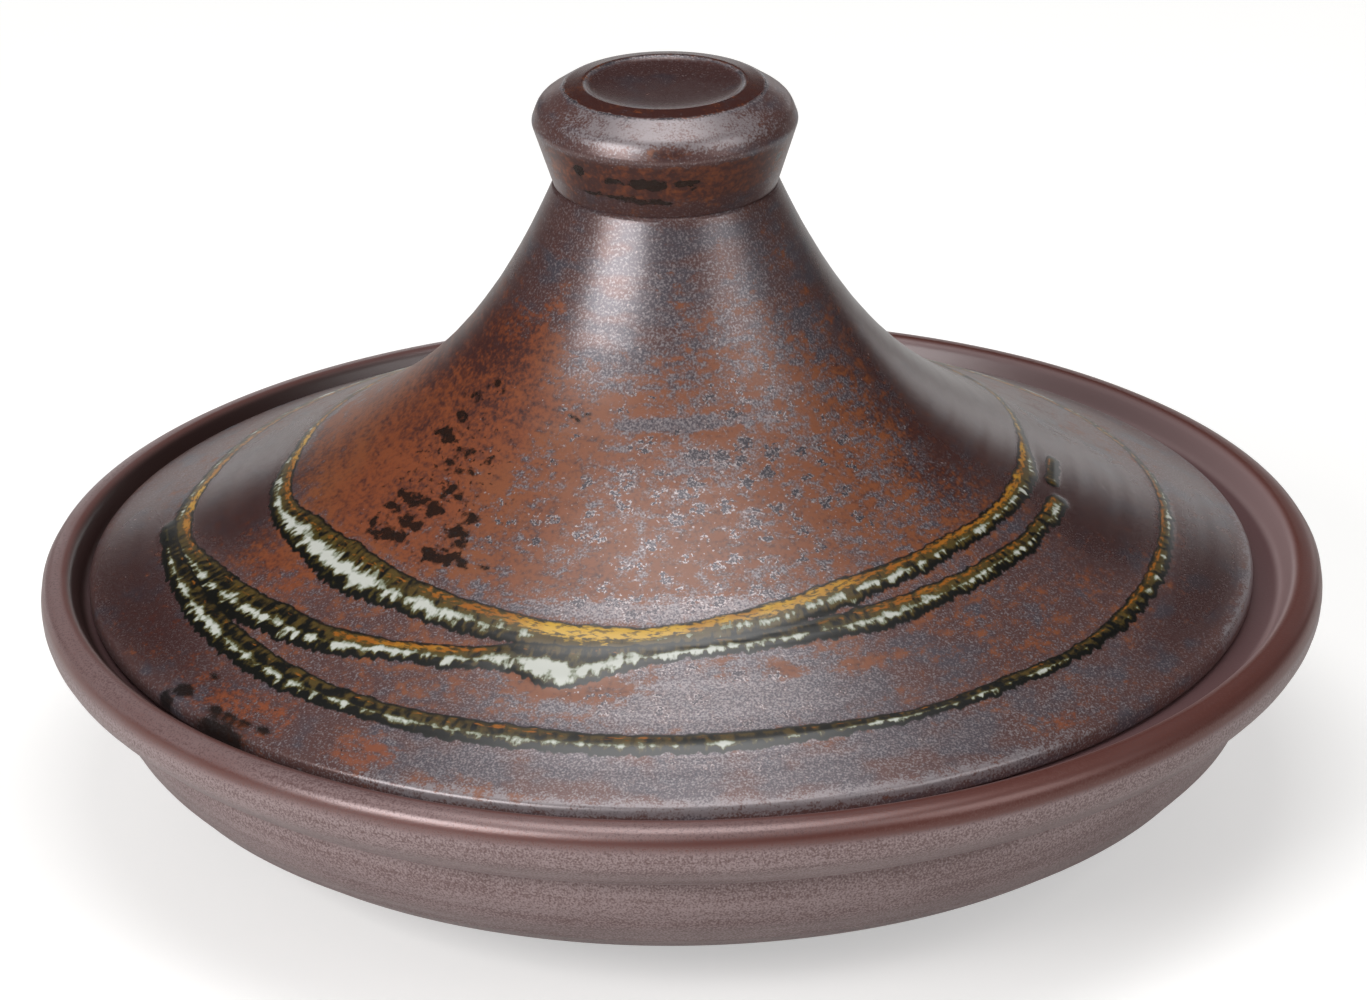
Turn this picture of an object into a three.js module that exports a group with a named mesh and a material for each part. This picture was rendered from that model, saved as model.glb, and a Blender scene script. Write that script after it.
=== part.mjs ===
// A hand-thrown stoneware tagine: a shallow dish with a collared rim, and a bell-shaped lid with a
// flared knob that stands in a gallery inside the rim. Millimetres, +Z up, origin at the centre of
// the foot, on the table.

import * as THREE from 'three';

// Dish: rim, collar and gallery
const RIM_DIAMETER = 300;
const RIM_HEIGHT = 57.4;
const RIM_TOP_WIDTH = 4.3;
const RIM_TOP_FALL = 1;
const RIM_TOP_ROUND = 2.2;
const RIM_INNER_ROUND = 1.2;
const COLLAR_HEIGHT = 17.4;
const COLLAR_OVERHANG = 13.5;
const COLLAR_FACE_HEIGHT = 10;
const COLLAR_FACE_ROUND = 4.5;
const COLLAR_UNDERSIDE_WIDTH = 5.2;
const COLLAR_UNDERSIDE_ROUND = 2.4;
const GALLERY_DEPTH = 5.9;
const GALLERY_BATTER = 4.2;
const GALLERY_ROUND = 1.4;

// Dish: bowl and foot
const BOWL_WALL = 8;
const BOWL_SIDE_PULL = 22.3;
const BOWL_BASE_PULL = 20.1;
const BOWL_BASE_SLOPE = 12.7;
const BOWL_MOUTH_ROUND = 1.6;
const COVE_ROUND = 1.2;
const FLOOR_THICKNESS = 7;
const FLOOR_DIAMETER = 144;
const FLOOR_PULL = 35;
const INSIDE_SIDE_PULL = 12.8;
const FOOT_DIAMETER = 172;
const FOOT_WIDTH = 10;
const FOOT_HEIGHT = 3;
const FOOT_NOTCH = 2.6;
const FOOT_ROUND = 1;

// Lid: seat, bell and crown
const LID_PLAY = 5.3;
const LID_REST_SHARE = 0.45;
const SEAT_GAP = 0.3;
const SEAT_WIDTH = 8;
const LID_EDGE_THICKNESS = 4;
const LID_EDGE_ROUND = 1.7;
const LID_WALL = 6.5;
const BELL_HEIGHT = 98;
const BELL_EDGE_SLOPE = 23.8;
const BELL_EDGE_PULL = 67.7;
const BELL_NECK_FLARE = 23.3;
const BELL_NECK_PULL = 56.6;
const CROWN_THICKNESS = 9;
const CROWN_ROUND = 6;

// Knob
const NECK_DIAMETER = 51.6;
const KNOB_JOINT = 0.3;
const KNOB_DIAMETER = 61.8;
const KNOB_FOOT_ROUND = 0.5;
const KNOB_FLARE_HEIGHT = 14.8;
const KNOB_EDGE_ROUND = 1.8;
const KNOB_SHOULDER_WIDTH = 7.4;
const KNOB_SHOULDER_HEIGHT = 7.8;
const KNOB_SHOULDER_SWELL = 1.1;
const KNOB_RING_WIDTH = 4.8;
const KNOB_RING_RISE = 0.8;
const KNOB_RING_ROUND = 1.4;
const KNOB_DIMPLE_DEPTH = 5;
const KNOB_DIMPLE_PULL = 6;

// Facets
const TURN_SEGMENTS = 64;
const KNOB_SEGMENTS = 48;
const CURVE_STEPS = 11;
const CORNER_STEPS = 2;
const DIMPLE_STEPS = 5;

// Radii and levels that the pieces share
const rimRadius = RIM_DIAMETER / 2;
const bowlRadius = rimRadius - COLLAR_OVERHANG;
const coveLevel = RIM_HEIGHT - COLLAR_HEIGHT;
const galleryLevel = RIM_HEIGHT - GALLERY_DEPTH;
const galleryRadius = rimRadius - RIM_TOP_WIDTH - GALLERY_BATTER;
const lidRadius = galleryRadius - LID_PLAY;
const neckRadius = NECK_DIAMETER / 2;

// A point of a turned outline: its radius, its height and how far its corner is rounded.
function at(radius, height, fillet = 0) {
  const point = new THREE.Vector2(radius, height);
  point.fillet = fillet;
  return point;
}

// A point at a distance from another, in a direction given in degrees above outwards.
function away(point, degrees, distance) {
  const angle = THREE.MathUtils.degToRad(degrees);
  return at(point.x + Math.cos(angle) * distance, point.y + Math.sin(angle) * distance);
}

// The outline with each rounded corner replaced by a short curve from side to side.
function roundCorners(outline) {
  return outline.flatMap((corner, index) => {
    if (!corner.fillet) {
      return [corner];
    }
    const sides = [outline[index - 1], outline[index + 1]].map((neighbour) => {
      const share = Math.min(corner.fillet / corner.distanceTo(neighbour), 0.45);
      return corner.clone().lerp(neighbour, share);
    });
    return new THREE.QuadraticBezierCurve(sides[0], corner, sides[1]).getPoints(CORNER_STEPS);
  });
}

// Points of a wall's inner face, square to its outer curve at the wall's thickness.
function innerFace(curve, thickness) {
  return curve.getPoints(CURVE_STEPS).map((point, index) => {
    const along = curve.getTangent(index / CURVE_STEPS);
    return at(point.x - along.y * thickness, point.y + along.x * thickness);
  });
}

// Where a rising run of points crosses a level.
function crossing(points, level) {
  const above = points.findIndex((point) => point.y > level);
  const below = points[above - 1];
  return below.clone().lerp(points[above], (level - below.y) / (points[above].y - below.y));
}

// A piece turned from an outline that runs from the axis, round the outside and back to the axis.
function turned(name, outline, segments, material) {
  const geometry = new THREE.LatheGeometry(roundCorners(outline), segments);
  geometry.rotateX(Math.PI / 2);
  const mesh = new THREE.Mesh(geometry, material);
  mesh.name = name;
  return mesh;
}

// The bowl's outside: it leaves the foot at a low slope and stands upright at the cove.
function bowlOutside() {
  const foot = at(FOOT_DIAMETER / 2 + FOOT_NOTCH, FOOT_HEIGHT);
  const cove = at(bowlRadius, coveLevel);
  const footPull = away(foot, BOWL_BASE_SLOPE, BOWL_BASE_PULL);
  const covePull = at(cove.x, cove.y - BOWL_SIDE_PULL);
  return new THREE.CubicBezierCurve(foot, footPull, covePull, cove);
}

// The bowl's inside: upright below the mouth, running out level into the flat floor.
function bowlInside(mouthRadius, floorLevel) {
  const side = at(mouthRadius, coveLevel);
  const floor = at(FLOOR_DIAMETER / 2, floorLevel);
  const sidePull = at(side.x, side.y - INSIDE_SIDE_PULL);
  const floorPull = at(floor.x + FLOOR_PULL, floor.y);
  return new THREE.CubicBezierCurve(side, sidePull, floorPull, floor);
}

// The dish: foot ring, bowl, collar, rim, gallery and the inside of the bowl.
function makeDish() {
  const footRadius = FOOT_DIAMETER / 2;
  const mouthRadius = bowlRadius - BOWL_WALL;
  const floorLevel = FOOT_HEIGHT + FLOOR_THICKNESS;
  const outline = [
    at(0, FOOT_HEIGHT),
    at(footRadius - FOOT_WIDTH, FOOT_HEIGHT, FOOT_ROUND),
    at(footRadius - FOOT_WIDTH, 0, FOOT_ROUND),
    at(footRadius, 0, FOOT_ROUND),
    at(footRadius, FOOT_HEIGHT - FOOT_ROUND),
    ...bowlOutside().getPoints(CURVE_STEPS).slice(0, -1),
    at(bowlRadius, coveLevel, COVE_ROUND),
    at(bowlRadius + COLLAR_UNDERSIDE_WIDTH, coveLevel, COLLAR_UNDERSIDE_ROUND),
    at(rimRadius, RIM_HEIGHT - COLLAR_FACE_HEIGHT, COLLAR_FACE_ROUND),
    at(rimRadius, RIM_HEIGHT - RIM_TOP_FALL, RIM_TOP_ROUND),
    at(rimRadius - RIM_TOP_WIDTH, RIM_HEIGHT, RIM_INNER_ROUND),
    at(galleryRadius, galleryLevel, GALLERY_ROUND),
    at(mouthRadius, galleryLevel, BOWL_MOUTH_ROUND),
    ...bowlInside(mouthRadius, floorLevel).getPoints(CURVE_STEPS),
    at(0, floorLevel),
  ];
  const glaze = new THREE.MeshStandardMaterial({ color: 0x6d5450, roughness: 0.5, metalness: 0 });
  return turned('dish', outline, TURN_SEGMENTS, glaze);
}

// The lid's outside: a bell that falls steeply from the neck and runs out to a shallow skirt.
function bellOutside() {
  const edge = at(lidRadius, LID_EDGE_THICKNESS);
  const neck = at(neckRadius, BELL_HEIGHT);
  const edgePull = away(edge, 180 - BELL_EDGE_SLOPE, BELL_EDGE_PULL);
  const neckPull = away(neck, BELL_NECK_FLARE - 90, BELL_NECK_PULL);
  return new THREE.CubicBezierCurve(edge, edgePull, neckPull, neck);
}

// The lid, in its own frame: height 0 is the flat seat under its edge.
function makeLid() {
  const outside = bellOutside();
  const ceiling = BELL_HEIGHT - CROWN_THICKNESS;
  const seatInner = lidRadius - SEAT_WIDTH;
  const vault = innerFace(outside, LID_WALL);
  const crown = crossing(vault, ceiling);
  const inside = vault.filter((point) => point.x < seatInner && point.y > 0 && point.y < ceiling);
  const outline = [
    at(0, ceiling),
    at(crown.x, ceiling, CROWN_ROUND),
    ...inside.reverse(),
    at(seatInner, 0),
    at(lidRadius, 0, LID_EDGE_ROUND),
    at(lidRadius, LID_EDGE_THICKNESS, LID_EDGE_ROUND),
    ...outside.getPoints(CURVE_STEPS).slice(1),
    at(0, BELL_HEIGHT),
  ];
  const glaze = new THREE.MeshStandardMaterial({ color: 0x6b4538, roughness: 0.38, metalness: 0 });
  return turned('lid', outline, TURN_SEGMENTS, glaze);
}

// The knob, in its own frame: height 0 is the flat foot that is luted onto the crown.
function makeKnob() {
  const edge = at(KNOB_DIAMETER / 2, KNOB_FLARE_HEIGHT, KNOB_EDGE_ROUND);
  const ring = at(edge.x - KNOB_SHOULDER_WIDTH, edge.y + KNOB_SHOULDER_HEIGHT, KNOB_RING_ROUND);
  const crest = at(ring.x - KNOB_RING_WIDTH, ring.y + KNOB_RING_RISE);
  const shoulder = edge.clone().lerp(ring, 0.5).addScalar(KNOB_SHOULDER_SWELL);
  const dimpleLevel = crest.y - KNOB_DIMPLE_DEPTH;
  const dimple = new THREE.QuadraticBezierCurve(
    crest,
    at(crest.x - KNOB_DIMPLE_PULL, dimpleLevel),
    at(0, dimpleLevel),
  );
  const outline = [
    at(0, 0),
    at(neckRadius, 0, KNOB_FOOT_ROUND),
    edge,
    at(shoulder.x, shoulder.y, KNOB_SHOULDER_HEIGHT / 2),
    ring,
    ...dimple.getPoints(DIMPLE_STEPS),
  ];
  const glaze = new THREE.MeshStandardMaterial({ color: 0x5a4a4a, roughness: 0.34, metalness: 0 });
  return turned('lid_knob', outline, KNOB_SEGMENTS, glaze);
}

// The lid stands on the gallery's ledge, pushed to one side by part of its play.
const lidAssembly = new THREE.Group();
lidAssembly.position.set(-LID_PLAY * LID_REST_SHARE, 0, galleryLevel + SEAT_GAP);

const knob = makeKnob();
knob.position.z = BELL_HEIGHT + KNOB_JOINT;
lidAssembly.add(makeLid(), knob);

const tagine = new THREE.Group();
tagine.add(makeDish(), lidAssembly);

export default tagine;
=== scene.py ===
# %% [markdown]
# A tagine is a stoneware cooking dish with a tall lid. This one was thrown on a wheel in two pieces,
# the dish and the bell of the lid, and a flared knob was thrown and joined on top. The dish has a satin
# iron slip, and the lid an iron glaze that broke into lilac crystals, with glaze trailed round it in lines.
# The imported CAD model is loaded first. It is the fixed frame that every finer piece here stands on.

import math

import bmesh
import bpy
import numpy as np
from mathutils import Matrix, Quaternion, Vector


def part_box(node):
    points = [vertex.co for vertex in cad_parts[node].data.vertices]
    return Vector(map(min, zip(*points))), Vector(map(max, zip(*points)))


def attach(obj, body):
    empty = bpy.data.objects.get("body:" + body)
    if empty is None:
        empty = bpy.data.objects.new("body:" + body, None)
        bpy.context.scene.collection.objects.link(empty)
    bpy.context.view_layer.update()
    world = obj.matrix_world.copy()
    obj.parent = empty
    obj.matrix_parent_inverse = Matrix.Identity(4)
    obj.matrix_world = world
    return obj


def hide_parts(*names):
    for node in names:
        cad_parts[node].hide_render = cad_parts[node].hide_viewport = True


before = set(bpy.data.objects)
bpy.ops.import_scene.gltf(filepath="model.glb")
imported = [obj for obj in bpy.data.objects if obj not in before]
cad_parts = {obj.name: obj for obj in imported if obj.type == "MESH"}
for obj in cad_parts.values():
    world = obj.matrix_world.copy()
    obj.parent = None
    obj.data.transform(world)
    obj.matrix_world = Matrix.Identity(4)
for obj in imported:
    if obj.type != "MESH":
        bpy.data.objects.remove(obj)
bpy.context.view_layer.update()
scene = bpy.context.scene
scene.view_settings.view_transform = "Standard"
MM = 0.001

# %% [markdown]
# The camera stands about a metre and a half in front of the dish and looks down at it by 23 degrees, through
# a long lens, as for a product picture. A long lens keeps the near and the far rim almost the same size.

# %% Camera
CAMERA_PLACE = Vector((0.0, -1.3512, 0.6498))
CAMERA_AIM = Vector((0.0007, 0.0, 0.0697))
CAMERA_ROLL = math.radians(-0.758)
LENS_MM = 165.5
SENSOR_MM = 36

camera = bpy.data.objects.new("camera", bpy.data.cameras.new("camera"))
scene.collection.objects.link(camera)
scene.camera = camera
camera.data.lens = LENS_MM
camera.data.sensor_width = SENSOR_MM
camera.data.sensor_fit = "HORIZONTAL"
camera.location = CAMERA_PLACE
camera.rotation_mode = "QUATERNION"
look = (CAMERA_AIM - CAMERA_PLACE).to_track_quat("-Z", "Y")
camera.rotation_quaternion = look @ Quaternion((0, 0, 1), CAMERA_ROLL)
print("camera distance, m:", round((CAMERA_AIM - CAMERA_PLACE).length, 2))

# %% [markdown]
# Every material below is a small tree of nodes. Two helpers keep the trees short: one turns a given colour
# into the linear light that shaders count in, and one adds a node, sets it and links it.

# %% Colour and node helpers
COLOUR = {"data_type": "RGBA"}
STEP = {"interpolation_type": "SMOOTHSTEP"}
TIMES = {"operation": "MULTIPLY"}
TIMES_PLUS = {"operation": "MULTIPLY_ADD"}
HIGHER = {"operation": "MAXIMUM"}
LENGTH = {"operation": "LENGTH"}
DIVIDED_BY = {"operation": "DIVIDE"}


def linear(hex_colour):
    """An sRGB hex colour as the linear colour that a shader socket takes."""
    channels = [int(hex_colour[i:i + 2], 16) / 255 for i in (1, 3, 5)]
    light = [c / 12.92 if c <= 0.04045 else ((c + 0.055) / 1.055) ** 2.4 for c in channels]
    return (*light, 1.0)


def add(tree, kind, settings=None, inputs=None):
    """Add one node. An input given as a node or a socket is linked, and any other value is set."""
    node = tree.nodes.new("ShaderNode" + kind)
    for name, value in (settings or {}).items():
        setattr(node, name, value)
    for key, value in (inputs or {}).items():
        if isinstance(value, bpy.types.Node):
            value = next(s for s in value.outputs if s.enabled)
        if isinstance(value, bpy.types.NodeSocket):
            tree.links.new(value, node.inputs[key])
        else:
            node.inputs[key].default_value = value
    return node


def new_material(name):
    """An empty material and its tree."""
    material = bpy.data.materials.new(name)
    material.use_nodes = True
    material.node_tree.nodes.clear()
    return material, material.node_tree


# %% [markdown]
# The stage starts with a pale floor. It adds a little light of its own for the camera, which takes it to
# white where nothing shades it and still lets the shadow under the dish show. That glow grows with distance,
# because the lamps reach only the middle of the floor.

# %% Floor
FLOOR_SIZE = 12.0
FLOOR_DROP = 0.0002
FLOOR_PAINT = linear("#D9D8D6")
FLOOR_LIFT = 0.47
FAR_FLOOR_LIFT = 0.92
LAMPLIT_RADIUS = 0.6
UNLIT_RADIUS = 1.9
FLOOR_MIRRORED = 0.08

floor_mesh = bpy.data.meshes.new("floor")
bm = bmesh.new()
bmesh.ops.create_grid(bm, x_segments=1, y_segments=1, size=FLOOR_SIZE / 2)
bmesh.ops.translate(bm, verts=bm.verts, vec=(0, 0, -FLOOR_DROP))
bm.to_mesh(floor_mesh)
bm.free()
floor = bpy.data.objects.new("floor", floor_mesh)
scene.collection.objects.link(floor)

floor_paint, tree = new_material("matt_floor_paint")
rays = add(tree, "LightPath").outputs
mirrored = add(tree, "Math", TIMES, {0: rays["Is Glossy Ray"], 1: FLOOR_MIRRORED})
place = add(tree, "TexCoord").outputs["Object"]
distance = add(tree, "VectorMath", LENGTH, {0: place})
for_camera = add(tree, "MapRange", {}, {0: distance, 1: LAMPLIT_RADIUS, 2: UNLIT_RADIUS,
                                        3: FLOOR_LIFT, 4: FAR_FLOOR_LIFT})
lift = add(tree, "Math", TIMES_PLUS, {0: rays["Is Camera Ray"], 1: for_camera, 2: mirrored})
glow = add(tree, "Emission", {}, {"Strength": lift})
paint = add(tree, "BsdfDiffuse", {}, {"Color": FLOOR_PAINT})
lit = add(tree, "AddShader", {}, {0: paint, 1: glow})
add(tree, "OutputMaterial", {}, {"Surface": lit})
floor_mesh.materials.append(floor_paint)
print("floor, m:", FLOOR_SIZE)

# %% [markdown]
# Round the floor is a white room. It shows white to the camera and in reflections, and it lights the piece
# only softly, so the soft boxes can still model the form.

# %% White room
ROOM_FILL = 0.14


def seen_directly(tree):
    """1 for rays that should see the white background: from the camera, a reflection or through glass."""
    rays = add(tree, "LightPath")
    shine = add(tree, "Math", HIGHER,
                {0: rays.outputs["Is Glossy Ray"], 1: rays.outputs["Is Transmission Ray"]})
    return add(tree, "Math", HIGHER, {0: rays.outputs["Is Camera Ray"], 1: shine})


room = bpy.data.worlds.new("white_room")
scene.world = room
room.use_nodes = True
tree = room.node_tree
tree.nodes.clear()
level = add(tree, "MapRange", {}, {0: seen_directly(tree), 3: ROOM_FILL, 4: 1.0})
sky = add(tree, "Background", {}, {"Color": linear("#FFFFFF"), "Strength": level})
add(tree, "OutputWorld", {}, {"Surface": sky})
print("room fill:", ROOM_FILL)

# %% [markdown]
# The white backdrop stands only behind the pot. Round it and above it the studio is dark, as for most
# product shots, so a dark glaze keeps its depth, shows the soft boxes as clear sheens and mirrors the
# backdrop on the far side of the lid alone. Only reflections see the dark dome: the camera looks through it.

# %% Dark studio round the backdrop
DOME_RADIUS = 5.0
DOME_MERIDIANS = 72
DOME_RINGS = 60
BACKDROP_LEFT = math.radians(-22.5)
BACKDROP_RIGHT = math.radians(37)
BACKDROP_TOP = math.radians(13)
STUDIO_GREY = linear("#1C1B1A")


def open_to_backdrop(face):
    """Whether a face of the dome lies below the floor or in front of the backdrop."""
    centre = face.calc_center_median()
    bearing = math.atan2(centre.x, centre.y)
    rise = math.asin(centre.z / centre.length)
    return rise < 0 or (BACKDROP_LEFT < bearing < BACKDROP_RIGHT and rise < BACKDROP_TOP)


dome_mesh = bpy.data.meshes.new("studio_dome")
bm = bmesh.new()
bmesh.ops.create_uvsphere(bm, u_segments=DOME_MERIDIANS, v_segments=DOME_RINGS, radius=DOME_RADIUS)
bmesh.ops.delete(bm, geom=[f for f in bm.faces if open_to_backdrop(f)], context="FACES")
bm.to_mesh(dome_mesh)
bm.free()
dome = bpy.data.objects.new("studio_dome", dome_mesh)
scene.collection.objects.link(dome)
for kind in ("camera", "diffuse", "transmission", "shadow"):
    setattr(dome, "visible_" + kind, False)
studio_paint, tree = new_material("dark_studio")
add(tree, "OutputMaterial", {}, {"Surface": add(tree, "Emission", {}, {"Color": STUDIO_GREY})})
dome_mesh.materials.append(studio_paint)
print("stage:", floor.name, dome.name)

# %% [markdown]
# Two soft boxes light the pot: a key on the left at the height of the camera, which makes the tall highlight
# on the neck, and a wide one overhead, which draws the pale sheen on the shoulder and the knob. A weak fill
# on the right and two behind keep those sides from going black. The glaze doesn't mirror the two behind, so
# its far side shows the backdrop alone.

# %% Lamps
LAMP_TARGET = Vector((0.0, 0.0, 0.08))
FILL_SIZE = (0.8, 0.8)
FILL_DISTANCE = 1.6


def soft_box(name, bearing, height, distance, size, watts):
    """An area lamp aimed at the pot. The bearing is in degrees from the front, positive to the right."""
    lamp = bpy.data.lights.new(name, "AREA")
    lamp.shape = "RECTANGLE"
    lamp.size, lamp.size_y = size
    lamp.energy = watts
    holder = bpy.data.objects.new(name, lamp)
    turn, rise = math.radians(bearing), math.radians(height)
    away = Vector((math.sin(turn) * math.cos(rise), -math.cos(turn) * math.cos(rise), math.sin(rise)))
    holder.location = LAMP_TARGET + away * distance
    holder.rotation_mode = "QUATERNION"
    holder.rotation_quaternion = (-away).to_track_quat("-Z", "Y")
    scene.collection.objects.link(holder)
    return holder


soft_box("key_soft_box", bearing=-43, height=28, distance=1.3, size=(0.8, 0.45), watts=10.8)
soft_box("top_soft_box", bearing=0, height=86, distance=1.2, size=(0.8, 0.7), watts=6.6)
soft_box("right_fill", bearing=55, height=32, distance=FILL_DISTANCE, size=FILL_SIZE, watts=5.3)
for name, bearing in (("left_back_fill", -145), ("right_back_fill", 145)):
    back_fill = soft_box(name, bearing, height=40, distance=FILL_DISTANCE, size=FILL_SIZE, watts=2.6)
    back_fill.visible_glossy = False

# %% [markdown]
# A thrown pot is a solid of revolution, so each piece is an outline that is spun round its axis. The outline
# is a few corners in millimetres, each with how far its rounding reaches along the sides, and the long
# sweeps are cubic curves. Close points between them make the surface fine enough to carry real ripples.

# %% Outline helpers
ROUNDING_STEPS = 5


def sweep(start, start_pull, end_pull, end, steps):
    """Points of a cubic curve between two ends, each with the handle that pulls on it."""
    p0, p1, p2, p3 = (np.array(p, float) for p in (start, start_pull, end_pull, end))
    t = np.linspace(0, 1, steps)[:, None]
    points = (1 - t) ** 3 * p0 + 3 * t * (1 - t) ** 2 * p1 + 3 * t * t * (1 - t) * p2 + t ** 3 * p3
    return [(r, z, 0) for r, z in points]


def rounded(corners):
    """Round each corner (radius, height, reach) by a curve that reaches that far along its two sides."""
    places = [np.array(c[:2], float) for c in corners]
    outline = []
    for i, (place, corner) in enumerate(zip(places, corners)):
        if not corner[2]:
            outline.append(place)
            continue
        before, after = places[i - 1] - place, places[i + 1] - place
        start = place + before / np.linalg.norm(before) * corner[2]
        end = place + after / np.linalg.norm(after) * corner[2]
        for t in np.linspace(0, 1, ROUNDING_STEPS):
            outline.append((1 - t) ** 2 * start + 2 * t * (1 - t) * place + t * t * end)
    return outline


def spaced(outline, gap):
    """Add points so that no two neighbours are further apart than gap."""
    points = [outline[0]]
    for a, b in zip(outline, outline[1:]):
        count = max(1, math.ceil(np.linalg.norm(b - a) / gap))
        points += [a + (b - a) * k / count for k in range(1, count + 1)]
    return points


# %% [markdown]
# The wheel is one spin of the outline. A long spin is slow, so a sixteenth of the pot is spun, and copies of
# it are turned until the ring is closed. The seams are then welded and the faces turned outwards.

# %% Turning a piece
FIRST_SECTOR = 16
WELD_MM = 0.001


def turn_on_wheel(name, outline, axis_x, steps):
    """Spin an outline about the upright line at axis_x into a closed, smooth piece."""
    bm = bmesh.new()
    axis = (axis_x, 0, 0)
    verts = [bm.verts.new((axis_x + r * MM, 0, z * MM)) for r, z in outline]
    edges = [bm.edges.new(pair) for pair in zip(verts, verts[1:])]
    bmesh.ops.spin(bm, geom=verts + edges, cent=axis, axis=(0, 0, 1), dvec=(0, 0, 0),
                   angle=math.tau / FIRST_SECTOR, steps=steps // FIRST_SECTOR)
    sector = FIRST_SECTOR
    while sector > 1:
        copy = bmesh.ops.duplicate(bm, geom=bm.verts[:] + bm.edges[:] + bm.faces[:])["geom"]
        copied = [v for v in copy if isinstance(v, bmesh.types.BMVert)]
        bmesh.ops.rotate(bm, verts=copied, cent=axis, matrix=Matrix.Rotation(math.tau / sector, 3, "Z"))
        sector //= 2
    bmesh.ops.remove_doubles(bm, verts=bm.verts, dist=WELD_MM * MM)
    bmesh.ops.recalc_face_normals(bm, faces=bm.faces)
    mesh = bpy.data.meshes.new(name)
    bm.to_mesh(mesh)
    bm.free()
    mesh.shade_smooth()
    piece = bpy.data.objects.new(name, mesh)
    scene.collection.objects.link(piece)
    print(name, "faces:", len(mesh.polygons))
    return piece


# %% [markdown]
# The dish is a shallow bowl on a low foot ring. Near the top it steps out into a heavy collar, and the
# collar holds a sunken gallery where the lid sits. The outline starts under the floor, goes round the foot,
# up the outside, over the rim and the gallery and down the inside. Its reach comes from the CAD node.

# %% Dish
dish_low, dish_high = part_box("dish")
RIM = (dish_high.x - dish_low.x) / 2 / MM
RIM_TOP = dish_high.z / MM
RIM_WIDTH = 6.8
COLLAR_TOP_TO_STEP = 17.1
COLLAR_OVERHANG = 13.5
COLLAR_FACE = 9.8
COLLAR_SOFFIT = 5.2
GALLERY_DEPTH = 5.6
GALLERY_BATTER = 2.8
BOWL_WALL = 8.0
FOOT = 86.0
FOOT_WIDTH = 10.0
FOOT_HEIGHT = 3.0
FOOT_NOTCH = 2.6
BOWL_SLOPE = math.radians(12.7)
BOWL_PULL = 20.1
SIDE_PULL = 22.3
STEP_COVE = 1.5
OUTSIDE_POINTS = 48
FLOOR_TOP = 10.0
FLOOR_EDGE = 72.0
FLOOR_PULL = 35.0
INSIDE_PULL = 12.8
INSIDE_POINTS = 40
DISH_STEPS = 480
DISH_GAP = 1.6

step_level = RIM_TOP - COLLAR_TOP_TO_STEP
gallery_level = RIM_TOP - GALLERY_DEPTH
side = RIM - COLLAR_OVERHANG
inner_side = side - BOWL_WALL
rim_inside = RIM - RIM_WIDTH
gallery_edge = rim_inside - GALLERY_BATTER
bowl_start = (FOOT + FOOT_NOTCH, FOOT_HEIGHT)
bowl_pull = (bowl_start[0] + BOWL_PULL * math.cos(BOWL_SLOPE),
             bowl_start[1] + BOWL_PULL * math.sin(BOWL_SLOPE))
outside = sweep(bowl_start, bowl_pull, (side, step_level - SIDE_PULL), (side, step_level - STEP_COVE),
                OUTSIDE_POINTS)
inside = sweep((inner_side, step_level), (inner_side, step_level - INSIDE_PULL),
               (FLOOR_EDGE + FLOOR_PULL, FLOOR_TOP), (FLOOR_EDGE, FLOOR_TOP), INSIDE_POINTS)
dish_corners = [
    (0, FOOT_HEIGHT, 0),
    (FOOT - FOOT_WIDTH, FOOT_HEIGHT, 0.9),
    (FOOT - FOOT_WIDTH, 0, 1.0),
    (FOOT, 0, 1.0),
    (FOOT, FOOT_HEIGHT - 0.9, 0.6),
    *outside,
    (side, step_level, 1.2),
    (side + COLLAR_SOFFIT, step_level, 2.2),
    (RIM, RIM_TOP - COLLAR_FACE, 3.8),
    (RIM, RIM_TOP, 5.0),
    (rim_inside, RIM_TOP, 1.7),
    (gallery_edge, gallery_level, 1.4),
    (inner_side, gallery_level, 1.6),
    *inside,
    (0, FLOOR_TOP, 0),
]
dish = turn_on_wheel("tagine_dish", spaced(rounded(dish_corners), DISH_GAP), 0.0, DISH_STEPS)

# %% [markdown]
# The potter's fingers leave low rings up the wall, and one faint ridge half way up. They are made in the
# mesh, a tenth or two of a millimetre deep, so they catch the light from every side.

# %% Throwing lines on the dish
RIDGE_HEIGHT = 19.0
RIDGE_DEPTH = 0.25
RIDGE_WIDTH = 1.2
DISH_WAVES = (2.1, 3.4, 5.3, 8.7)
DISH_WAVE_DEPTH = 0.16
RIPPLE_WANDER = 0.9
FOOT_CLEAR = 1.0
STEP_CLEAR = 2.0


def read_vectors(data, field):
    """A vector field of a mesh's points or faces, as rows."""
    values = np.zeros(len(data) * 3)
    data.foreach_get(field, values)
    return values.reshape(-1, 3)


def on_the_wheel(points, axis_x):
    """Angle from the front in degrees, positive to the right, and radius and height in millimetres."""
    x, y, z = (points - (axis_x, 0, 0)).T / MM
    return np.degrees(np.arctan2(x, -y)), np.hypot(x, y), z


def ripples(along, angle, wavelengths, depth, seed):
    """Throwing lines: low waves across the profile that drift a little round the pot, in millimetres."""
    draw = np.random.default_rng(seed)
    height = np.zeros_like(along)
    for wavelength in wavelengths:
        phase, drift = draw.uniform(0, math.tau), draw.integers(1, 4)
        wander = RIPPLE_WANDER * np.sin(np.radians(angle) * drift + phase)
        wave = math.tau * along / wavelength + phase + wander
        height += np.sin(wave) * wavelength
    return depth * height / sum(wavelengths)


def push_out(mesh, height):
    """Move each point along its normal by a height in millimetres."""
    moved = read_vectors(mesh.vertices, "co") + read_vectors(mesh.vertices, "normal") * height[:, None] * MM
    mesh.vertices.foreach_set("co", moved.ravel())
    mesh.update()


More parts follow.
